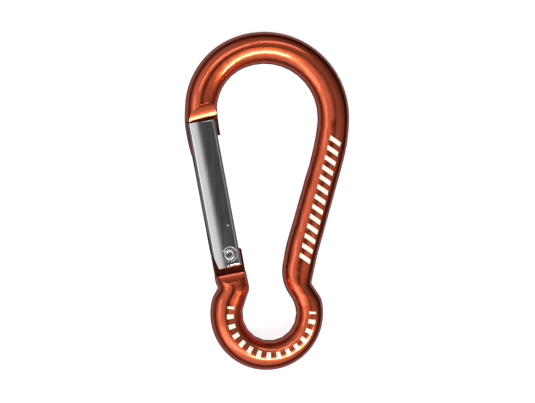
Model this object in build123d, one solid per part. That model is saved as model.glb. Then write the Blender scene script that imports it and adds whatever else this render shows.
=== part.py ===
"""Snap carabiner with an eye: a bent round-bar frame, a milled snap gate and the pieces inside the gate.

Millimetres. The carabiner lies flat on its side: +Y runs from the eye to the large bend, +X from the gate to the
spine, and +Z is the thickness direction, along which the gate's hinge rivet lies. The origin is the eye's centre, in
the middle of the bar's thickness.

The gate and everything that fits it are drawn in the gate's own coordinates: x across the gate, from its outer face
to its inner face, y up its length, and the origin on the hinge axis. at_gate() puts them in place.
"""
from build123d import *
import os
from math import cos, radians, sin

# ---------------------------------------------------------------- frame
BAR_HALF_THICKNESS = 3.8        # half of the bar's thickness along Z, the same all the way round
BAR_HALF_WIDTH = 3.8            # half of the bar's width in the large bend
NOSE_HALF_WIDTH = 3.96          # the bar swells a little where the nose is pressed flat
SPINE_HALF_WIDTH = 3.85

BEND_CENTRE = (-1.05, 46.4)     # large bend, spine side
BEND_RADIUS = 16.38             # to the middle of the bar
SHOULDER_RADIUS = 14.5          # the same bend, tighter on the gate side
SHOULDER_ANGLE = 112.6          # where the two radii meet, measured at BEND_CENTRE
NOSE_RADIUS = 31.0              # gentle curve of the nose towards the gate
NOSE_TURN = 24.0

SPINE_TOP_RADIUS = 30.0         # the spine leaves the large bend in two gentle curves, then runs straight
SPINE_TOP_ANGLE = -10.0
SPINE_MID_RADIUS = 62.0
SPINE_MID_ANGLE = -15.8

EYE_RADIUS = 6.4                # inside the eye, centred on the origin
EYE_OUTER_CENTRE = (-0.62, 0.05)
EYE_OUTER_RADIUS = 13.45
SPINE_OUTER_END = (11.57, 14.10)     # ends of the straight spine
SPINE_INNER_END = (4.00, 16.00)
NECK_OUTER = (11.00, 11.65)          # the outer edge turns in here, and again at the waist
WAIST_OUTER = (10.38, 8.90)
SPINE_BULGE_CENTRE = (13.05, 9.93)   # the spine's inner edge rounds into the eye
SPINE_BULGE_RADIUS = 10.0
SPINE_CREASE = (10.73, 7.25)         # centre of the small fillet in the outer crease between spine and eye
SPINE_CREASE_RADIUS = 0.7
SPINE_CHEEK_CENTRE = (8.62, 2.01)    # the outer edge rounds from the crease into the eye
SPINE_CHEEK_RADIUS = 4.0
GATE_CHEEK_CENTRE = (-11.2, 2.88)    # the same on the gate side
GATE_CHEEK_RADIUS = 2.5
GATE_CREASE_RADIUS = 0.5
GATE_BULGE_CENTRE = (-8.33, 6.1)     # the inner edge rounds from the eye towards the hinge
GATE_BULGE_RADIUS = 3.5
TANG_FLARE_RADIUS = 6.0              # outer edge, from the crease up to the hinge

# ---------------------------------------------------------------- nose, hinge and gate
HINGE = (-9.82, 14.03)          # hinge axis, parallel to Z
GATE_LEAN = 10.7                # the closed gate leans outwards from +Y
BLADE_HALF_THICKNESS = 1.5      # nose tongue and hinge tang, the flat blades that enter the gate
SLOT_HALF_WIDTH = 1.65          # slots in the gate that take them

TONGUE_END = 24.2               # the tongue's free end, inside the gate
TONGUE_INNER = 1.58             # its inner edge, against the gate's web
TONGUE_SHOULDER = 27.95         # above this the tongue is as wide as the bar
TONGUE_CUT_DEPTH = 8.0          # how far below the tongue's end the bar's blank is cleared away
TONGUE_CORNER_RADIUS = 0.7
TONGUE_NOTCH_RADIUS = 0.1
NOSE_LEDGE = 32.55              # height of the step from bar to tongue
NOSE_LEDGE_TILT = 5.2
NOSE_LEDGE_HEIGHT = 1.87        # half thickness left at the step
NOSE_SCOOP_RADIUS = 6.3         # concave run-out from the bar's round surface to the step
NOSE_SCOOP_SLOPE = 15.0         # its slope where it meets the step
NOSE_SCOOP_ROLL = 5.8           # the run-out is deeper on the bar's inner side
TANG_LEDGE = -4.65              # the bar ends here, square to the gate
TANG_BAR_OUTER = -4.19          # edges of the bar's end
TANG_BAR_INNER = 3.39
TANG_LEDGE_HEIGHT = 2.3
TANG_SCOOP_RADIUS = 4.3
TANG_SCOOP_SLOPE = 18.0
TANG_OUTER = -3.95              # edges of the tang, just inside the bar's
TANG_INNER = 3.12
TANG_ROOT_DEPTH = 1.2           # how far the tang runs down into the bar
TANG_SLOPE = ((TANG_OUTER, 0.3), (-1.5, 1.5))  # corners of the slope on its outer side
TANG_CORNER_RADIUS = 0.5

GATE_OUTER = -3.95              # outer face of the gate
GATE_INNER = 2.43               # inner face
GATE_HALF_THICKNESS = 3.4
GATE_TOP = 31.85
GATE_BOTTOM = -2.95
FACET_INNER = -1.5              # the flat faces fall away to the outer face along a facet
FACET_OUTER = -3.6
FACET_DROP = 0.75
FACET_CORNER_RADIUS = 9.0       # a soft rolling-over from flat face to facet
OUTER_CORNER_RADIUS = 0.6
INNER_CORNER_RADIUS = 0.75
WEB_INNER = 1.73                # inner face of the web that closes the slots on the inner side
WEB_TOP = 27.7
WEB_BOTTOM = 3.05
UPPER_SLOT_BOTTOM = 21.9
LOWER_SLOT_TOP = 5.75
SLOT_MOUTH_CHAMFER = 0.6
TOP_CORNER_RADIUS = 0.7
BOTTOM_CORNER_RADIUS = 0.35
TOP_RIM_RADIUS = 0.3            # rounding of the end edges on both faces
BOTTOM_RIM_RADIUS = 0.65
HEEL_X = -3.1                   # the gate's outer bottom corner is cut back from here
HEEL_TOP = 0.5
HEEL_SLOPE = 0.1                # the cut's lean over its height
HEEL_RADIUS = 0.5

RIVET_RADIUS = 1.0
TANG_HOLE_RADIUS = 1.05         # running clearance on the rivet
RIVET_RECESS_RADIUS = 1.65
RIVET_RECESS_DEPTH = 0.4
RIVET_RECESS_CHAMFER = 0.16
RIVET_HEAD_RADIUS = 1.35
RIVET_HEAD_BELOW_FACE = 0.02
RIVET_HOLLOW_RADIUS = 0.6       # the ends are drilled, then set by spreading
RIVET_HOLLOW_DEPTH = 0.7
RIVET_EDGE_RADIUS = 0.34        # both edges of the rolled head are round

BORE_OFFSET = 0.8               # the spring bore lies on the inner side of the hinge
BORE_RADIUS = 1.15
BORE_END = 20.3
DRILL_POINT = 0.6               # depth of the drill's point, in bore radii
STEM_RADIUS = 0.85              # plunger stem, with a domed tip of the same radius
COLLAR_RADIUS = 1.1
COLLAR_BOTTOM = 7.15
COLLAR_TOP = 8.6
TIP_CENTRE = 2.65               # height of the dome's centre with the gate closed
CAM_LIFT = 1.0                  # plunger travel in mm for each radian that the gate opens
CAM_GAP = 0.03
CAM_STEPS = 6
CAM_END = 50.0                  # the cam runs a little past the gate's full opening of 44 degrees
STAKE_HEIGHT = 6.75             # punch mark that keeps the plunger's collar in the bore
STAKE_RADIUS = 0.5
STAKE_DEPTH = 0.08

SPRING_WIRE_RADIUS = 0.17
SPRING_MEAN_RADIUS = 0.88
SPRING_COILS = 12
SPRING_END_GAP = 0.03

FAR = 12.0                      # long enough to cut right through the bar or the gate


def polar(centre, radius, angle):
    """The point on a circle at an angle in degrees."""
    return Vector(centre) + Vector(radius, 0).rotate(Axis.Z, angle)


def arc(centre, radius, start, end):
    """An arc of a circle, from one angle to another."""
    return CenterArc(centre, radius, start, end - start)


def bend(centre, radius, half_width, start, end):
    """The bar's outer and inner edge round one bend, as concentric arcs."""
    return arc(centre, radius + half_width, start, end), arc(centre, radius - half_width, start, end)


def bar_edges():
    """The bar's outline from nose to tang, as stretches of (outer edge, inner edge, number of ribs)."""
    bend_centre = Vector(BEND_CENTRE)
    shoulder = polar(bend_centre, BEND_RADIUS - SHOULDER_RADIUS, SHOULDER_ANGLE)
    nose = shoulder + Vector(NOSE_RADIUS - SHOULDER_RADIUS, 0)
    spine_top = bend_centre + Vector(BEND_RADIUS - SPINE_TOP_RADIUS, 0)
    spine_mid = polar(spine_top, SPINE_TOP_RADIUS - SPINE_MID_RADIUS, SPINE_TOP_ANGLE)

    stretches = [
        (*bend(nose, NOSE_RADIUS, NOSE_HALF_WIDTH, 180 + NOSE_TURN, 180), 5),
        (*bend(shoulder, SHOULDER_RADIUS, BAR_HALF_WIDTH, 180, SHOULDER_ANGLE), 7),
        (*bend(bend_centre, BEND_RADIUS, BAR_HALF_WIDTH, SHOULDER_ANGLE, 0), 11),
        (*bend(spine_top, SPINE_TOP_RADIUS, BAR_HALF_WIDTH, 0, SPINE_TOP_ANGLE), 2),
        (*bend(spine_mid, SPINE_MID_RADIUS, SPINE_HALF_WIDTH, SPINE_TOP_ANGLE, SPINE_MID_ANGLE), 2),
    ]

    # straight spine, then the crease between spine and eye
    crease_start = polar(SPINE_CREASE, SPINE_CREASE_RADIUS, 167)
    crease_end = polar(SPINE_CREASE, SPINE_CREASE_RADIUS, 218)
    cheek_start = polar(SPINE_CHEEK_CENTRE, SPINE_CHEEK_RADIUS, 38)
    bulge_start = polar(SPINE_BULGE_CENTRE, SPINE_BULGE_RADIUS, 168)
    stretches += [
        (Line(stretches[-1][0] @ 1, SPINE_OUTER_END), Line(stretches[-1][1] @ 1, SPINE_INNER_END), 5),
        (Line(SPINE_OUTER_END, NECK_OUTER), Line(SPINE_INNER_END, bulge_start), 1),
        (Line(NECK_OUTER, WAIST_OUTER), arc(SPINE_BULGE_CENTRE, SPINE_BULGE_RADIUS, 168, 183), 3),
        (Line(WAIST_OUTER, crease_start), arc(SPINE_BULGE_CENTRE, SPINE_BULGE_RADIUS, 183, 199), 3),
        (
            arc(SPINE_CREASE, SPINE_CREASE_RADIUS, 167, 218),
            arc(SPINE_BULGE_CENTRE, SPINE_BULGE_RADIUS, 199, 217.3),
            5,
        ),
        (Line(crease_end, cheek_start), arc((0, 0), EYE_RADIUS, 37.3, 27), 2),
        (arc(SPINE_CHEEK_CENTRE, SPINE_CHEEK_RADIUS, 38, 12), arc((0, 0), EYE_RADIUS, 27, 10), 3),
        (arc(EYE_OUTER_CENTRE, EYE_OUTER_RADIUS, 12, -195), arc((0, 0), EYE_RADIUS, 10, -195), 20),
    ]

    # the crease between eye and hinge, and the short stub that ends square at the tang
    eye_end = polar((0, 0), EYE_RADIUS, 165)
    bulge_low = polar(GATE_BULGE_CENTRE, GATE_BULGE_RADIUS, -28)
    eye_exit = eye_end + (bulge_low - eye_end) * 0.3
    cheek_end = polar(GATE_CHEEK_CENTRE, GATE_CHEEK_RADIUS, 150)
    crease_start = cheek_end + Vector(2.0, 0).rotate(Axis.Z, 60)
    crease = crease_start - Vector(GATE_CREASE_RADIUS, 0).rotate(Axis.Z, -30)
    crease_end = polar(crease, GATE_CREASE_RADIUS, 28)
    flare = crease_end - Vector(TANG_FLARE_RADIUS, 0).rotate(Axis.Z, 208)
    tang_outer = polar(flare, TANG_FLARE_RADIUS, 190)
    tang_inner = polar(GATE_BULGE_CENTRE, GATE_BULGE_RADIUS, 14)
    stretches += [
        (arc(GATE_CHEEK_CENTRE, GATE_CHEEK_RADIUS, 165, 150), Line(eye_end, eye_exit), 2),
        (Line(cheek_end, crease_start), Line(eye_exit, bulge_low), 3),
        (arc(crease, GATE_CREASE_RADIUS, -30, 28), arc(GATE_BULGE_CENTRE, GATE_BULGE_RADIUS, -28, 5), 5),
        (arc(flare, TANG_FLARE_RADIUS, 208, 190), arc(GATE_BULGE_CENTRE, GATE_BULGE_RADIUS, 5, 14), 3),
        (
            Line(tang_outer, gate_point(TANG_BAR_OUTER, TANG_LEDGE)),
            Line(tang_inner, gate_point(TANG_BAR_INNER, TANG_LEDGE)),
            3,
        ),
    ]
    return stretches


def gate_point(across, up):
    """A point given in the gate's own coordinates."""
    return Vector(HINGE) + Vector(across, up).rotate(Axis.Z, GATE_LEAN)


def bent_bar():
    """The round bar in its final bend: one smooth loft through oval ribs that join the outer and inner edges."""
    ribs = []
    stretches = bar_edges()
    for outer, inner, count in stretches:
        ribs += [(outer @ (i / count), inner @ (i / count)) for i in range(count)]
    last_outer, last_inner, count = stretches[-1]
    ribs.append((last_outer @ 1, last_inner @ 1))

    sections = []
    for outer, inner in ribs:
        across = (outer - inner).normalized()
        plane = Plane(origin=(outer + inner) / 2, x_dir=across, z_dir=across.cross(Vector(0, 0, 1)))
        sections.append(plane * Ellipse((outer - inner).length / 2, BAR_HALF_THICKNESS))
    return loft(sections)


def at_gate(shape):
    """Move a shape from the gate's own coordinates to its place."""
    return Location((*HINGE, 0), (0, 0, GATE_LEAN)) * shape


def upright(radius, half_height, x=0.0, y=0.0):
    """A cylinder along Z, centred on the middle plane."""
    return Pos(x, y, 0) * Cylinder(radius, 2 * half_height)


def scoops(ledge, tilt, roll, ledge_height, radius, slope):
    """Concave run-outs milled across both faces of the bar, down to the height of a ledge.

    slope is the run-out's slope at the ledge in degrees: positive where the bar lies above the ledge.
    """
    low_point = Pos(0, -radius * sin(radians(slope)), radius * cos(radians(slope)))
    axis_place = Pos(0, 0, ledge_height) * Rot(0, roll, 0) * low_point * Rot(0, 90, 0)
    placed = at_gate(Pos(0, ledge, 0) * Rot(0, 0, tilt) * axis_place * Cylinder(radius, 2 * FAR))
    return [placed, mirror(placed, about=Plane.XY)]


def tongue_faces_cut():
    """What is milled off both faces of the bar below the nose ledge, to leave the flat tongue."""
    depth = FAR - BLADE_HALF_THICKNESS
    slab = Pos(0, -FAR / 2, BLADE_HALF_THICKNESS + depth / 2) * Box(2 * FAR, FAR, depth)
    placed = at_gate(Pos(0, NOSE_LEDGE, 0) * Rot(0, 0, NOSE_LEDGE_TILT) * slab)
    return [placed, mirror(placed, about=Plane.XY)]


def tongue_profile_cut():
    """Everything beyond the tongue's free end, and the notch that clears the gate's web."""
    outline = FilletPolyline(
        (-FAR, TONGUE_END),
        (TONGUE_INNER, TONGUE_END),
        (TONGUE_INNER, TONGUE_SHOULDER),
        (FAR, TONGUE_SHOULDER),
        radius=(TONGUE_CORNER_RADIUS, TONGUE_NOTCH_RADIUS),
    )
    bottom = TONGUE_END - TONGUE_CUT_DEPTH
    low = Polyline((FAR, TONGUE_SHOULDER), (FAR, bottom), (-FAR, bottom), (-FAR, TONGUE_END))
    return at_gate(extrude(make_face([outline, low]), FAR, both=True))


def cam_point(turn):
    """A point of the tang's cam, where the plunger's dome rests when the gate has opened by turn radians."""
    height = TIP_CENTRE + CAM_LIFT * turn
    centre = Vector(BORE_OFFSET * cos(turn) + height * sin(turn), height * cos(turn) - BORE_OFFSET * sin(turn))
    travel = Vector(centre.Y + CAM_LIFT * sin(turn), CAM_LIFT * cos(turn) - centre.X)
    outwards = travel.normalized().rotate(Axis.Z, 90)
    return centre - outwards * (STEM_RADIUS + CAM_GAP)


def tang():
    """The flat tang: a slope on the outer side, the plunger's cam at the top and a shoulder on the inner side."""
    cam = [cam_point(radians(CAM_END) * i / CAM_STEPS) for i in range(CAM_STEPS + 1)]
    root = TANG_LEDGE - TANG_ROOT_DEPTH
    outer = FilletPolyline(
        (TANG_OUTER, root),
        *TANG_SLOPE,
        cam[0],
        radius=TANG_CORNER_RADIUS,
    )
    inner = FilletPolyline(cam[-1], (TANG_INNER, cam[-1].Y), (TANG_INNER, root), radius=TANG_CORNER_RADIUS)
    outline = make_face([outer, Spline(*cam), inner, Line((TANG_INNER, root), (TANG_OUTER, root))])
    blade = extrude(outline, BLADE_HALF_THICKNESS, both=True)
    return at_gate(blade - upright(TANG_HOLE_RADIUS, FAR))


def make_frame():
    """The bent bar with its nose tongue, hinge tang and hinge hole."""
    body = bent_bar()
    body -= tongue_faces_cut()
    nose_run_out = (NOSE_LEDGE_HEIGHT, NOSE_SCOOP_RADIUS, NOSE_SCOOP_SLOPE)
    body -= scoops(NOSE_LEDGE, NOSE_LEDGE_TILT, NOSE_SCOOP_ROLL, *nose_run_out)
    body -= scoops(TANG_LEDGE, 0, 0, TANG_LEDGE_HEIGHT, TANG_SCOOP_RADIUS, -TANG_SCOOP_SLOPE)
    body -= tongue_profile_cut()
    return body + tang()


def gate_section():
    """The gate bar's cross-section: x across the gate and y along Z, with flat faces and a rounded outer side."""
    top = GATE_HALF_THICKNESS
    low = top - FACET_DROP
    side = low - OUTER_CORNER_RADIUS
    half = [(GATE_INNER, top), (FACET_INNER, top), (FACET_OUTER, low), (GATE_OUTER, side)]
    other_half = [(x, -y) for x, y in reversed(half)]
    radii = [INNER_CORNER_RADIUS, FACET_CORNER_RADIUS, OUTER_CORNER_RADIUS, OUTER_CORNER_RADIUS]
    return make_face(FilletPolyline(*half, *other_half, radius=radii + radii[::-1], close=True))


def gate_outline():
    """The gate seen along Z: square at the top, cut back at the bottom on its outer side."""
    corners = [
        (GATE_OUTER - 1, GATE_TOP),
        (GATE_INNER, GATE_TOP),
        (GATE_INNER, GATE_BOTTOM),
        (HEEL_X, GATE_BOTTOM),
        (GATE_OUTER + HEEL_SLOPE, HEEL_TOP),
        (GATE_OUTER - 1, HEEL_TOP + 3),
    ]
    radii = [0, TOP_CORNER_RADIUS, BOTTOM_CORNER_RADIUS, BOTTOM_CORNER_RADIUS, HEEL_RADIUS, 0]
    return make_face(FilletPolyline(*corners, radius=radii, close=True))


def rim_cuts(end, radius, side):
    """Cutters that round the edges between the gate's end and both its faces: side is +1 at the top, -1 below."""
    centre = Pos(0, end - side * radius, GATE_HALF_THICKNESS - radius)
    corner = centre * Pos(0, side * radius, radius) * Box(2 * FAR, 2 * radius, 2 * radius)
    cutter = corner - centre * Rot(0, 90, 0) * Cylinder(radius, 2 * FAR)
    return [cutter, mirror(cutter, about=Plane.XY)]


def slot_cut(start, end):
    """A slot milled in from the outer side as far as the web, from one height to another."""
    width = WEB_INNER + FAR
    return Pos(WEB_INNER - width / 2, (start + end) / 2, 0) * Box(width, abs(end - start), 2 * SLOT_HALF_WIDTH)


def web_cut(start, end):
    """The slot's full depth, web and all, from one height to another."""
    return Pos(0, (start + end) / 2, 0) * Box(2 * FAR, abs(end - start), 2 * SLOT_HALF_WIDTH)


def make_gate():
    """The gate: a solid bar with a slot at each end, a blind spring bore and a recess round each rivet head."""
    length = GATE_TOP - GATE_BOTTOM
    bar = Pos(0, GATE_TOP, 0) * Rot(90, 0, 0) * extrude(gate_section(), length)
    body = bar & extrude(gate_outline(), FAR, both=True)
    body -= rim_cuts(GATE_TOP, TOP_RIM_RADIUS, 1)
    body -= rim_cuts(GATE_BOTTOM, BOTTOM_RIM_RADIUS, -1)
    body -= slot_cut(UPPER_SLOT_BOTTOM, GATE_TOP + 1)
    body -= slot_cut(LOWER_SLOT_TOP, GATE_BOTTOM - 1)
    body -= web_cut(WEB_TOP, GATE_TOP + 1)
    body -= web_cut(WEB_BOTTOM, GATE_BOTTOM - 1)
    mouth = Pos(GATE_OUTER, UPPER_SLOT_BOTTOM, 0) * Rot(0, 0, 45)
    body -= mouth * Box(SLOT_MOUTH_CHAMFER * 2**0.5, SLOT_MOUTH_CHAMFER * 2**0.5, 2 * SLOT_HALF_WIDTH)

    bore_length = BORE_END - LOWER_SLOT_TOP + 1
    bore = Pos(BORE_OFFSET, BORE_END - bore_length / 2, 0) * Rot(-90, 0, 0) * Cylinder(BORE_RADIUS, bore_length)
    drill_point = Cone(BORE_RADIUS, 0, BORE_RADIUS * DRILL_POINT, align=(Align.CENTER, Align.CENTER, Align.MIN))
    body -= bore + Pos(BORE_OFFSET, BORE_END, 0) * Rot(-90, 0, 0) * drill_point

    body -= upright(RIVET_RADIUS, FAR)
    on_floor = (Align.CENTER, Align.CENTER, Align.MIN)
    recess = Cylinder(RIVET_RECESS_RADIUS, 1, align=on_floor)
    rim = Cone(RIVET_RECESS_RADIUS, RIVET_RECESS_RADIUS + 2 * RIVET_RECESS_CHAMFER, 2 * RIVET_RECESS_CHAMFER,
               align=on_floor)
    recess += Pos(0, 0, RIVET_RECESS_DEPTH - RIVET_RECESS_CHAMFER) * rim
    recess = Pos(0, 0, GATE_HALF_THICKNESS - RIVET_RECESS_DEPTH) * recess
    stake_centre = GATE_HALF_THICKNESS - STAKE_DEPTH + STAKE_RADIUS
    stake = Pos(BORE_OFFSET, STAKE_HEIGHT, stake_centre) * Sphere(STAKE_RADIUS)
    for cutter in (recess, stake):
        body -= [cutter, mirror(cutter, about=Plane.XY)]
    return at_gate(body)


def make_hinge_rivet():
    """Semi-tubular rivet through both cheeks and the tang, set flush in its recesses."""
    head_top = GATE_HALF_THICKNESS - RIVET_HEAD_BELOW_FACE
    head_height = head_top - (GATE_HALF_THICKNESS - RIVET_RECESS_DEPTH)
    body = upright(RIVET_RADIUS, head_top)
    for side in (1, -1):
        head = Pos(0, 0, side * (head_top - head_height / 2)) * Cylinder(RIVET_HEAD_RADIUS, head_height)
        hollow_middle = head_top - RIVET_HOLLOW_DEPTH / 2
        body += head
        body -= Pos(0, 0, side * hollow_middle) * Cylinder(RIVET_HOLLOW_RADIUS, RIVET_HOLLOW_DEPTH)
    rims = body.edges().filter_by(GeomType.CIRCLE).group_by(Axis.Z)
    body = fillet(rims[0] + rims[-1], RIVET_EDGE_RADIUS)
    return at_gate(body)


def make_plunger():
    """Round-nosed steel pin that the spring presses on to the tang, with a collar that runs in the bore."""
    stem_length = COLLAR_TOP - TIP_CENTRE
    stem = Pos(0, TIP_CENTRE + stem_length / 2, 0) * Rot(90, 0, 0) * Cylinder(STEM_RADIUS, stem_length)
    collar_length = COLLAR_TOP - COLLAR_BOTTOM
    collar_middle = (COLLAR_TOP + COLLAR_BOTTOM) / 2
    collar = Pos(0, collar_middle, 0) * Rot(90, 0, 0) * Cylinder(COLLAR_RADIUS, collar_length)
    dome = Pos(0, TIP_CENTRE, 0) * Sphere(STEM_RADIUS)
    return at_gate(Pos(BORE_OFFSET, 0, 0) * (stem + collar + dome))


def make_gate_spring():
    """Coil spring in the gate's bore, between the plunger's collar and the bore's blind end."""
    start = COLLAR_TOP + SPRING_WIRE_RADIUS + SPRING_END_GAP
    height = BORE_END - SPRING_WIRE_RADIUS - SPRING_END_GAP - start
    path = Helix(pitch=height / SPRING_COILS, height=height, radius=SPRING_MEAN_RADIUS)
    wire = Plane(origin=path @ 0, z_dir=path % 0) * Circle(SPRING_WIRE_RADIUS)
    coil = sweep(wire, path=path, is_frenet=True)
    return at_gate(Pos(BORE_OFFSET, start, 0) * Rot(-90, 0, 0) * coil)


PARTS = {
    "frame": make_frame,
    "gate": make_gate,
    "hinge_rivet": make_hinge_rivet,
    "plunger": make_plunger,
    "gate_spring": make_gate_spring,
}

os.makedirs("parts", exist_ok=True)
for name, make in PARTS.items():
    export_step(make(), f"parts/{name}.step")
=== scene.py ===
"""Looks of the snap carabiner: materials, marks, spring, floor, lights and camera around the CAD frame."""
from math import cos, pi, radians, sin, tan

import bpy
from mathutils import Matrix, Vector


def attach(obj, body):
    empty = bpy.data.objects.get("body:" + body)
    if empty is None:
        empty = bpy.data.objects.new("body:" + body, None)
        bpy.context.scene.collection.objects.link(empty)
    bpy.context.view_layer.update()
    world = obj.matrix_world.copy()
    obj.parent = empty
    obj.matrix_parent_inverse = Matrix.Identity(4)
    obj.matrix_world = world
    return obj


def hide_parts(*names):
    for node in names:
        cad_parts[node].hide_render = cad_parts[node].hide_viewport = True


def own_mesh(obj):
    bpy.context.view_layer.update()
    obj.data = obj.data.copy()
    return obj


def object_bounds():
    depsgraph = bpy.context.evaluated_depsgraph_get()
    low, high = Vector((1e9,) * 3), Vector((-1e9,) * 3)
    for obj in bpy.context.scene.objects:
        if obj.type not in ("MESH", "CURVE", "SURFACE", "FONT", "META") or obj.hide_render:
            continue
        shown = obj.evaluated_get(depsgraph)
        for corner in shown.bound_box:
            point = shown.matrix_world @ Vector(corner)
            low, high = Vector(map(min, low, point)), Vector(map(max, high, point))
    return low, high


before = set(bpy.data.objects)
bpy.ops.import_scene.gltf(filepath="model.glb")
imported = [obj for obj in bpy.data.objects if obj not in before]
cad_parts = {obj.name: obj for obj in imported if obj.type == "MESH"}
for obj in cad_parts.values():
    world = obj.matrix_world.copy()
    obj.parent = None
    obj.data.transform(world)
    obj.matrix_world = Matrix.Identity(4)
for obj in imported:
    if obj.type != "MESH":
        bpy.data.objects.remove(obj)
cad_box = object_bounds()

MM = 0.001
HINGE = Vector((-9.82, 14.03, 0)) * MM
GATE_LEAN = radians(10.7)       # the closed gate leans outwards from +Y

# ---------------------------------------------------------------- camera
VIEW_CENTRE = Vector((-0.463, 26.446, 0.0)) * MM
VIEW_YAW = radians(8.0)         # the camera stands a little to the gate's side of straight above
VIEW_WIDTH = 126.55 * MM        # width of the picture at the object
LENS = 120.0


def make_camera():
    """A long lens almost straight above the carabiner as it lies flat."""
    data = bpy.data.cameras.new("camera")
    data.lens = LENS
    camera = bpy.data.objects.new("camera", data)
    distance = VIEW_WIDTH * LENS / data.sensor_width
    back = Vector((-sin(VIEW_YAW), 0, cos(VIEW_YAW)))
    right = Vector((0, 1, 0)).cross(back)
    up = back.cross(right)
    turn = Matrix((right, up, back)).transposed().to_4x4()
    camera.matrix_world = Matrix.Translation(VIEW_CENTRE + back * distance) @ turn
    bpy.context.scene.collection.objects.link(camera)
    bpy.context.scene.camera = camera


# ---------------------------------------------------------------- lights and floor
LIGHT_CENTRE = Vector((0, 26, 0)) * MM
LIGHT_DISTANCE = 0.5
WARM_WHITE = (1.0, 0.95, 0.84)


def make_softbox(name, across, along, size, radiance, colour=(1, 1, 1), turn=0.0):
    """A rectangular soft light facing the carabiner.

    across and along are the angles in degrees by which it leans from straight above towards +X and +Y.
    size is its width and height in degrees as seen from the carabiner.
    radiance is its brightness, where 1 is white, and turn rotates it in its own plane, in degrees.
    """
    lean = (across**2 + along**2) ** 0.5
    sideways = Vector((across, along, 0)).normalized()
    out = sideways * sin(radians(lean)) + Vector((0, 0, cos(radians(lean))))
    width, height = (2 * LIGHT_DISTANCE * tan(radians(angle / 2)) for angle in size)
    data = bpy.data.lights.new(name, "AREA")
    data.shape = "RECTANGLE"
    data.size = width
    data.size_y = height
    data.energy = radiance * pi * width * height
    data.color = colour
    light = bpy.data.objects.new(name, data)
    right = Vector((0, 1, 0)).cross(out).normalized()
    facing = Matrix((right, out.cross(right), out)).transposed().to_4x4()
    place = Matrix.Translation(LIGHT_CENTRE + out * LIGHT_DISTANCE)
    light.matrix_world = place @ facing @ Matrix.Rotation(radians(turn), 4, "Z")
    bpy.context.scene.collection.objects.link(light)


FLOOR_RADIUS = 2.5
COVE_RADIUS = 0.8               # the floor sweeps up into a pale wall all round
COVE_STEPS = 12
FLOOR_SIDES = 96
FLOOR_GREY = (0.45, 0.45, 0.45, 1)
FLOOR_ROUGHNESS = 0.9
FLOOR_GLOW = 0.8                # the floor shines a little of its own, which keeps it pale


def make_floor():
    """A pale sheet that the carabiner lies on, curved up into a low wall far away."""
    low, high = cad_box
    middle = (low + high) / 2
    profile = [(FLOOR_RADIUS, 0.0)]
    for step in range(1, COVE_STEPS + 1):
        angle = radians(90 * step / COVE_STEPS)
        profile.append((FLOOR_RADIUS + COVE_RADIUS * sin(angle), COVE_RADIUS * (1 - cos(angle))))
    verts = []
    for radius, height in profile:
        for side in range(FLOOR_SIDES):
            angle = 2 * pi * side / FLOOR_SIDES
            verts.append((middle.x + radius * cos(angle), middle.y + radius * sin(angle), low.z + height))
    faces = [tuple(range(FLOOR_SIDES))]
    for ring in range(COVE_STEPS):
        for side in range(FLOOR_SIDES):
            a = ring * FLOOR_SIDES + side
            b = ring * FLOOR_SIDES + (side + 1) % FLOOR_SIDES
            faces.append((a, a + FLOOR_SIDES, b + FLOOR_SIDES, b))
    mesh = bpy.data.meshes.new("floor")
    mesh.from_pydata(verts, [], faces)
    floor = bpy.data.objects.new("floor", mesh)
    floor.visible_glossy = False
    bpy.context.scene.collection.objects.link(floor)
    material, shader = new_material("pale_floor")
    shader.inputs["Base Color"].default_value = FLOOR_GREY
    shader.inputs["Roughness"].default_value = FLOOR_ROUGHNESS
    shader.inputs["Emission Color"].default_value = (1, 1, 1, 1)
    shader.inputs["Emission Strength"].default_value = FLOOR_GLOW
    mesh.materials.append(material)


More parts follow.
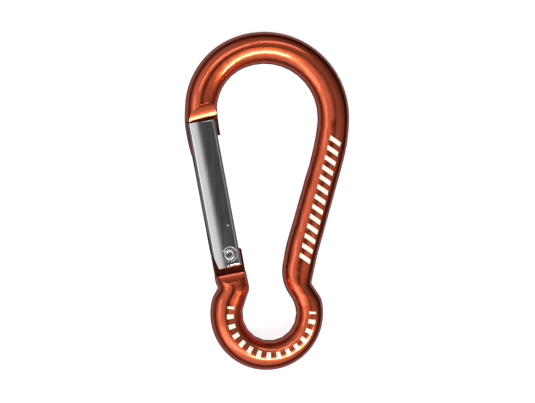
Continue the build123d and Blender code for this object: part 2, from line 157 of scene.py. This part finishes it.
# ---------------------------------------------------------------- node helpers
class Graph:
    """Adds nodes to one node tree. A number or a socket may be given for any input."""

    def __init__(self, tree):
        self.tree = tree

    def node(self, kind, inputs=(), **settings):
        """A node with its settings, and its inputs as (name or index, value or socket)."""
        node = self.tree.nodes.new(kind)
        for key, value in settings.items():
            setattr(node, key, value)
        for key, value in inputs:
            self.feed(node.inputs[key], value)
        return node

    def feed(self, socket, value):
        """Link a socket, or set a plain value."""
        if isinstance(value, bpy.types.NodeSocket):
            self.tree.links.new(value, socket)
        else:
            socket.default_value = value

    def math(self, operation, *values):
        """One arithmetic step."""
        node = self.node("ShaderNodeMath", list(enumerate(values)), operation=operation)
        return node.outputs[0]

    def remap(self, value, low, high, to_low=0.0, to_high=1.0):
        """A smooth step of value, from to_low at low to to_high at high."""
        inputs = [("Value", value), ("From Min", low), ("From Max", high)]
        inputs += [("To Min", to_low), ("To Max", to_high)]
        return self.node("ShaderNodeMapRange", inputs, interpolation_type="SMOOTHSTEP").outputs["Result"]

    def split(self, vector):
        """The X, Y and Z of a vector."""
        return self.node("ShaderNodeSeparateXYZ", [(0, vector)]).outputs

    def place(self, vector, origin=(0, 0, 0), turn=0.0, scale=(1, 1, 1)):
        """Coordinates measured from an origin along axes turned about Z, then scaled."""
        moved = self.node("ShaderNodeVectorMath", [(0, vector), (1, origin)], operation="SUBTRACT").outputs[0]
        inputs = [("Vector", moved), ("Rotation", (0, 0, -turn)), ("Scale", scale)]
        return self.node("ShaderNodeMapping", inputs).outputs[0]

    def noise(self, vector, scale, detail=3.0, roughness=0.5):
        """Noise from 0 to 1; scale is in cells per metre."""
        inputs = [("Vector", vector), ("Scale", scale), ("Detail", detail), ("Roughness", roughness)]
        return self.node("ShaderNodeTexNoise", inputs).outputs["Fac"]

    def mix(self, factor, first, second):
        """A blend of two colours."""
        node = self.node("ShaderNodeMix", data_type="RGBA")
        self.feed(node.inputs["Factor"], factor)
        colour_inputs = [socket for socket in node.inputs if socket.type == "RGBA"]
        for socket, value in zip(colour_inputs, (first, second)):
            self.feed(socket, value)
        return [socket for socket in node.outputs if socket.type == "RGBA"][0]

    def bump(self, height, strength, distance, normal=None):
        """A bump normal, on top of another normal if one is given."""
        inputs = [("Height", height), ("Strength", strength), ("Distance", distance)]
        if normal:
            inputs.append(("Normal", normal))
        return self.node("ShaderNodeBump", inputs).outputs[0]

    def rounded(self, radius):
        """A normal that rounds every sharp edge by a small radius."""
        return self.node("ShaderNodeBevel", [("Radius", radius)], samples=4).outputs[0]

    def object_coordinates(self):
        """Position on the object, in metres."""
        return self.node("ShaderNodeTexCoord").outputs["Object"]


def new_material(name):
    """A new node material with its Principled shader."""
    material = bpy.data.materials.new(name)
    material.use_nodes = True
    return material, material.node_tree.nodes["Principled BSDF"]


# ---------------------------------------------------------------- printed marks
SPINE_MARK_MIDDLE = Vector((11.55, 26.9, 0)) * MM
SPINE_MARK_TURN = radians(-14.6)
SPINE_MARK_LENGTH = 31.0 * MM
SPINE_MARK_WIDTH = 2.9 * MM
SPINE_MARK_PITCH = 2.38 * MM
SPINE_MARK_SLANT = 0.35
EYE_MARK_RADIUS = 9.75 * MM
EYE_MARK_WIDTH = 1.65 * MM
EYE_MARK_COUNT = 26             # bars in a full turn, of which half are printed
EYE_MARK_TURN = -4.0            # degrees by which the printed half is turned
EYE_MARK_TOP = 1.2 * MM         # the printed arc ends this far above the eye's middle
MARK_SHARE = 0.45               # printed share of each pitch
MARK_EDGE = 0.05 * MM


def band(graph, value, half_width, edge):
    """1 where value is within half_width of zero, with a soft edge."""
    size = graph.math("ABSOLUTE", value)
    return graph.remap(size, half_width - edge, half_width + edge, 1.0, 0.0)


def repeated(graph, value, pitch, half_width, edge):
    """A row of bands, one in each pitch."""
    nearest = graph.math("ROUND", graph.math("DIVIDE", value, pitch))
    offset = graph.math("SUBTRACT", value, graph.math("MULTIPLY", nearest, pitch))
    return band(graph, offset, half_width, edge)


def printed_marks(graph, coordinates):
    """Mask of the white marks on the upper face: slanted bars on the spine, radial bars round the eye."""
    along_spine = graph.split(graph.place(coordinates, SPINE_MARK_MIDDLE, SPINE_MARK_TURN))
    across, along = along_spine[0], along_spine[1]
    slanted = graph.math("MULTIPLY_ADD", across, SPINE_MARK_SLANT, along)
    spine = repeated(graph, slanted, SPINE_MARK_PITCH, SPINE_MARK_PITCH * MARK_SHARE / 2, MARK_EDGE)
    spine = graph.math("MULTIPLY", spine, band(graph, across, SPINE_MARK_WIDTH / 2, MARK_EDGE))
    spine = graph.math("MULTIPLY", spine, band(graph, along, SPINE_MARK_LENGTH / 2, MARK_EDGE))

    turned = graph.split(graph.place(coordinates, turn=radians(EYE_MARK_TURN)))
    x, y = turned[0], turned[1]
    squares = graph.math("MULTIPLY_ADD", x, x, graph.math("MULTIPLY", y, y))
    radius = graph.math("SUBTRACT", graph.math("SQRT", squares), EYE_MARK_RADIUS)
    angle = graph.math("ARCTAN2", x, y)
    pitch = 2 * pi / EYE_MARK_COUNT
    eye = repeated(graph, angle, pitch, pitch * MARK_SHARE / 2, MARK_EDGE / EYE_MARK_RADIUS)
    eye = graph.math("MULTIPLY", eye, band(graph, radius, EYE_MARK_WIDTH / 2, MARK_EDGE))
    lower = graph.remap(y, EYE_MARK_TOP - MARK_EDGE, EYE_MARK_TOP + MARK_EDGE, 1.0, 0.0)
    eye = graph.math("MULTIPLY", eye, lower)

    upper = graph.remap(graph.split(coordinates)[2], 0.0, MM)
    return graph.math("MULTIPLY", graph.math("MAXIMUM", spine, eye), upper)


# ---------------------------------------------------------------- materials
BLADE_HALF_THICKNESS = 1.5 * MM
TONGUE_SPAN = (24.0 * MM, 32.65 * MM)   # heights of the nose tongue and of the tang above the hinge
TANG_SPAN = (-4.65 * MM, 4.0 * MM)
BLADE_REACH = (-6 * MM, 6 * MM)         # how far they reach across the gate's line
MASK_EDGE = 0.04 * MM
NOISE_RANGE = (0.3, 0.7)                # most noise values lie between these


def within(graph, value, span, edge=MASK_EDGE):
    """1 where value lies between two limits."""
    low, high = span
    return band(graph, graph.math("SUBTRACT", value, (low + high) / 2), (high - low) / 2, edge)


def painted_blade_shade(graph, coordinates):
    """Mask of the flat tongue and tang, where painted shade darkens the bar's colour because they sit
    recessed in the gate's slots.
    """
    x, y, z = graph.split(graph.place(coordinates, HINGE, GATE_LEAN))
    near_line = within(graph, x, BLADE_REACH)
    flat = band(graph, z, BLADE_HALF_THICKNESS + MASK_EDGE, MASK_EDGE / 2)
    spans = graph.math("MAXIMUM", within(graph, y, TONGUE_SPAN), within(graph, y, TANG_SPAN))
    return graph.math("MULTIPLY", graph.math("MULTIPLY", flat, spans), near_line)


DYE_COLOURS = (0.64, 0.088, 0.020, 1), (0.76, 0.112, 0.028, 1)     # the dye varies between these
# painted shade on the tongue and tang: the near-black red they are darkened towards, and how far
BLADE_SHADE_COLOUR = (0.07, 0.004, 0.004, 1)
BLADE_SHADE_STRENGTH = 0.75
MARK_COLOUR = (0.90, 0.87, 0.80, 1)
MARK_ROUGHNESS = 0.45
DYE_GLOSS = (0.21, 0.26)        # roughness between smears and on them
DYE_TINT = (0.3, 0.08, 0.06, 1)
COAT_ROUGHNESS = 0.08
GRAIN_HEIGHT = 0.01 * MM


def anodised():
    """Orange-red anodised aluminium, satin gloss, with white marks and painted shade darkening the tongue and
    tang.
    """
    material, shader = new_material("anodised_orange")
    graph = Graph(material.node_tree)
    coordinates = graph.object_coordinates()
    marks = printed_marks(graph, coordinates)

    clouds = graph.noise(coordinates, 260.0, 2.0)
    dye = graph.mix(clouds, *DYE_COLOURS)
    # painted shade: the tongue and tang are darkened where they sit recessed in the gate
    blade_shade = graph.math("MULTIPLY", painted_blade_shade(graph, coordinates), BLADE_SHADE_STRENGTH)
    dye = graph.mix(blade_shade, dye, BLADE_SHADE_COLOUR)
    colour = graph.mix(marks, dye, MARK_COLOUR)
    graph.feed(shader.inputs["Base Color"], colour)
    graph.feed(shader.inputs["Metallic"], graph.math("SUBTRACT", 1.0, marks))

    grain = graph.noise(coordinates, 9000.0, 2.0)
    smears = graph.noise(coordinates, 700.0, 4.0)
    gloss = graph.remap(smears, *NOISE_RANGE, *DYE_GLOSS)
    printed = graph.math("MULTIPLY", marks, MARK_ROUGHNESS)
    graph.feed(shader.inputs["Roughness"], graph.math("MAXIMUM", gloss, printed))

    shader.inputs["Specular Tint"].default_value = DYE_TINT
    shader.inputs["Coat Weight"].default_value = 1.0
    shader.inputs["Coat Roughness"].default_value = COAT_ROUGHNESS

    rounded = graph.rounded(0.2 * MM)
    normal = graph.bump(grain, 0.06, GRAIN_HEIGHT, rounded)
    graph.feed(shader.inputs["Normal"], normal)
    return material


SLOT_HALF_WIDTH = 1.65 * MM
SLOT_FLOOR = 1.73 * MM                  # the slots end at the gate's inner web
UPPER_SLOT = (21.9 * MM, 33.0 * MM)     # heights above the hinge
LOWER_SLOT = (-6.0 * MM, 5.75 * MM)
GATE_SIDES = (-3.62 * MM, 1.95 * MM)    # beyond these the gate's faces turn into its sides
SIDE_EDGE = 0.12 * MM
PUNCH_MARK = (0.8 * MM, 6.75 * MM)
PUNCH_MARK_RADIUS = 0.36 * MM
BARE_COLOURS = (0.80, 0.80, 0.81, 1), (0.88, 0.88, 0.88, 1)
# dark grey: painted shade on the gate's sides, and the colour of the punch mark
SIDE_SHADE_AND_MARK_COLOUR = (0.2, 0.2, 0.21, 1)
# painted shade inside the slots, where the upper cheek shades the lower one
SLOT_SHADE_COLOUR = (0.05, 0.045, 0.045, 1)
BARE_GLOSS = (0.12, 0.2)
SIDE_ROUGHNESS = 0.3
DARK_ROUGHNESS = 0.5            # of the slots and of the punch mark
DULL_SHARE = 2.2                # share of the dark grey (painted shade on the sides, and the punch mark's colour) for each unit of side and mark roughness


def in_slots(graph, x, y, z):
    """Mask of the walls and floors of the gate's two slots, in the gate's own coordinates, where painted
    shade darkens the colour and the surface is rougher.
    """
    between = band(graph, z, SLOT_HALF_WIDTH + MASK_EDGE, MASK_EDGE / 2)
    outside_web = graph.remap(x, SLOT_FLOOR + MASK_EDGE, SLOT_FLOOR + 2 * MASK_EDGE, 1.0, 0.0)
    spans = graph.math("MAXIMUM", within(graph, y, UPPER_SLOT), within(graph, y, LOWER_SLOT))
    return graph.math("MULTIPLY", graph.math("MULTIPLY", between, outside_web), spans)


def in_punch_mark(graph, x, y):
    """Mask of the punch mark above the rivet."""
    across = graph.math("SUBTRACT", x, PUNCH_MARK[0])
    along = graph.math("SUBTRACT", y, PUNCH_MARK[1])
    squares = graph.math("MULTIPLY_ADD", across, across, graph.math("MULTIPLY", along, along))
    return band(graph, graph.math("SQRT", squares), PUNCH_MARK_RADIUS, MASK_EDGE)


def polished():
    """Polished bare aluminium with faint lengthwise lines, rougher on its sides, inside its slots and at its
    punch mark; painted shade darkens its sides and the insides of its slots, and the punch mark is dark grey.
    """
    material, shader = new_material("polished_aluminium")
    graph = Graph(material.node_tree)
    coordinates = graph.object_coordinates()
    x, y, z = graph.split(graph.place(coordinates, HINGE, GATE_LEAN))
    slots = in_slots(graph, x, y, z)
    # the gate's sides are rougher and also get painted shade in their colour
    sides = graph.math("SUBTRACT", 1.0, within(graph, x, GATE_SIDES, SIDE_EDGE))
    rough_shaded_sides = graph.math("MULTIPLY", sides, SIDE_ROUGHNESS)
    dull_mark = graph.math("MULTIPLY", in_punch_mark(graph, x, y), DARK_ROUGHNESS)
    dull_and_shaded = graph.math("MAXIMUM", rough_shaded_sides, dull_mark)
    lengthwise = graph.place(coordinates, turn=GATE_LEAN, scale=(1.0, 0.025, 1.0))
    lines = graph.noise(lengthwise, 6000.0, 3.0)
    clouds = graph.noise(coordinates, 350.0, 3.0)
    bare = graph.mix(clouds, *BARE_COLOURS)
    # painted shade darkens the sides; the punch mark takes the same dark grey
    bare = graph.mix(graph.math("MULTIPLY", dull_and_shaded, DULL_SHARE), bare, SIDE_SHADE_AND_MARK_COLOUR)
    # painted shade: the insides of the slots are darkened to near black
    graph.feed(shader.inputs["Base Color"], graph.mix(slots, bare, SLOT_SHADE_COLOUR))
    shader.inputs["Metallic"].default_value = 1.0
    gloss = graph.remap(lines, *NOISE_RANGE, *BARE_GLOSS)
    rough = graph.math("MAXIMUM", dull_and_shaded, graph.math("MULTIPLY", slots, DARK_ROUGHNESS))
    graph.feed(shader.inputs["Roughness"], graph.math("MAXIMUM", gloss, rough))
    rounded = graph.rounded(0.1 * MM)
    graph.feed(shader.inputs["Normal"], graph.bump(lines, 0.05, GRAIN_HEIGHT, rounded))
    return material


STEEL_COLOURS = (0.56, 0.56, 0.57, 1), (0.68, 0.68, 0.69, 1)
STEEL_GLOSS = (0.16, 0.26)


def steel():
    """Bright steel of the rivet, plunger and spring."""
    material, shader = new_material("steel")
    graph = Graph(material.node_tree)
    coordinates = graph.object_coordinates()
    grain = graph.noise(coordinates, 4000.0, 3.0)
    graph.feed(shader.inputs["Base Color"], graph.mix(grain, *STEEL_COLOURS))
    shader.inputs["Metallic"].default_value = 1.0
    graph.feed(shader.inputs["Roughness"], graph.remap(grain, *NOISE_RANGE, *STEEL_GLOSS))
    rounded = graph.rounded(0.08 * MM)
    graph.feed(shader.inputs["Normal"], graph.bump(grain, 0.05, GRAIN_HEIGHT, rounded))
    return material


def dress(node, material):
    """Give a CAD node its material."""
    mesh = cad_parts[node].data
    mesh.materials.clear()
    mesh.materials.append(material)


# ---------------------------------------------------------------- spring
BORE_OFFSET = 0.8 * MM          # the bore's middle, from the hinge across the gate
SPRING_SPAN = (8.8 * MM, 20.1 * MM)
SPRING_RADIUS = 0.88 * MM
SPRING_WIRE_RADIUS = 0.17 * MM
SPRING_TURNS = 12
SPRING_STEPS = 24               # rings in a turn
WIRE_SIDES = 10


def make_spring(material):
    """The coil spring as a mesh tube in the gate's bore, carried with the gate in place of the CAD spring."""
    to_row = Matrix.Translation(HINGE) @ Matrix.Rotation(GATE_LEAN, 4, "Z")
    low, high = SPRING_SPAN
    count = SPRING_TURNS * SPRING_STEPS
    rise = (high - low) / (2 * pi * SPRING_TURNS)
    verts = []
    for step in range(count + 1):
        angle = 2 * pi * step / SPRING_STEPS
        out = Vector((cos(angle), 0, -sin(angle)))
        ahead = Vector((-sin(angle) * SPRING_RADIUS, rise, -cos(angle) * SPRING_RADIUS)).normalized()
        side = ahead.cross(out)
        middle = Vector((BORE_OFFSET, low + rise * angle, 0)) + out * SPRING_RADIUS
        for corner in range(WIRE_SIDES):
            around = 2 * pi * corner / WIRE_SIDES
            offset = out * cos(around) + side * sin(around)
            verts.append(to_row @ (middle + offset * SPRING_WIRE_RADIUS))
    faces = [tuple(reversed(range(WIRE_SIDES))), tuple(count * WIRE_SIDES + i for i in range(WIRE_SIDES))]
    for step in range(count):
        for corner in range(WIRE_SIDES):
            a = step * WIRE_SIDES + corner
            b = step * WIRE_SIDES + (corner + 1) % WIRE_SIDES
            faces.append((a, b, b + WIRE_SIDES, a + WIRE_SIDES))
    mesh = bpy.data.meshes.new("spring_coil")
    mesh.from_pydata([tuple(vert) for vert in verts], [], faces)
    mesh.shade_smooth()
    mesh.materials.append(material)
    spring = bpy.data.objects.new("spring_coil", mesh)
    bpy.context.scene.collection.objects.link(spring)
    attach(spring, "gate")
    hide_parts("gate_spring")
    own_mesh(spring)


# ---------------------------------------------------------------- room
def make_world():
    """A dim studio, brighter towards the gate and the eye's end.

    It is dark overhead, round the horizon and straight below, and pale from below at a slant.
    """
    world = bpy.data.worlds.new("studio")
    bpy.context.scene.world = world
    world.use_nodes = True
    graph = Graph(world.node_tree)
    direction = graph.node("ShaderNodeTexCoord").outputs["Generated"]
    x, y, z = graph.split(direction)
    side = graph.math("MULTIPLY_ADD", x, -0.34, graph.math("MULTIPLY_ADD", y, -0.28, 0.52))
    overhead = graph.remap(z, 0.90, 0.99, 1.0, 0.08)
    horizon = graph.remap(z, 0.06, 0.32, 0.12, 1.0)
    ring_below = graph.remap(z, -0.45, -0.28, 0.45, 0.0)
    straight_below = graph.remap(z, -0.95, -0.78, 0.03, 1.0)
    below = graph.math("MULTIPLY", ring_below, straight_below)
    room = graph.math("MULTIPLY", graph.math("MULTIPLY", side, overhead), horizon)
    strength = graph.math("MAXIMUM", room, below)
    background = world.node_tree.nodes["Background"]
    background.inputs["Color"].default_value = (1, 1, 1, 1)
    graph.feed(background.inputs["Strength"], strength)


dress("frame", anodised())
dress("gate", polished())
steel_material = steel()
for node in ("hinge_rivet", "plunger", "gate_spring"):
    dress(node, steel_material)
make_spring(steel_material)

make_floor()
make_camera()
make_world()
make_softbox("key", 18, -31, (44, 8), 14.0, WARM_WHITE, 12)
make_softbox("key_end", 40, -28, (12, 9), 14.0, WARM_WHITE, 40)
make_softbox("key_left", -14, -36, (30, 14), 2.2)
make_softbox("fill", -42, -36, (30, 26), 1.3)
make_softbox("top_left", -12, 34, (24, 8), 2.6, turn=14)
make_softbox("top_far_left", -30, 23, (14, 7), 1.9, turn=42)
make_softbox("side", -56, 2, (7, 28), 1.9)
make_softbox("top_right", 15, 43, (24, 8), 2.4, turn=-10)

bpy.context.scene.view_settings.view_transform = "Standard"
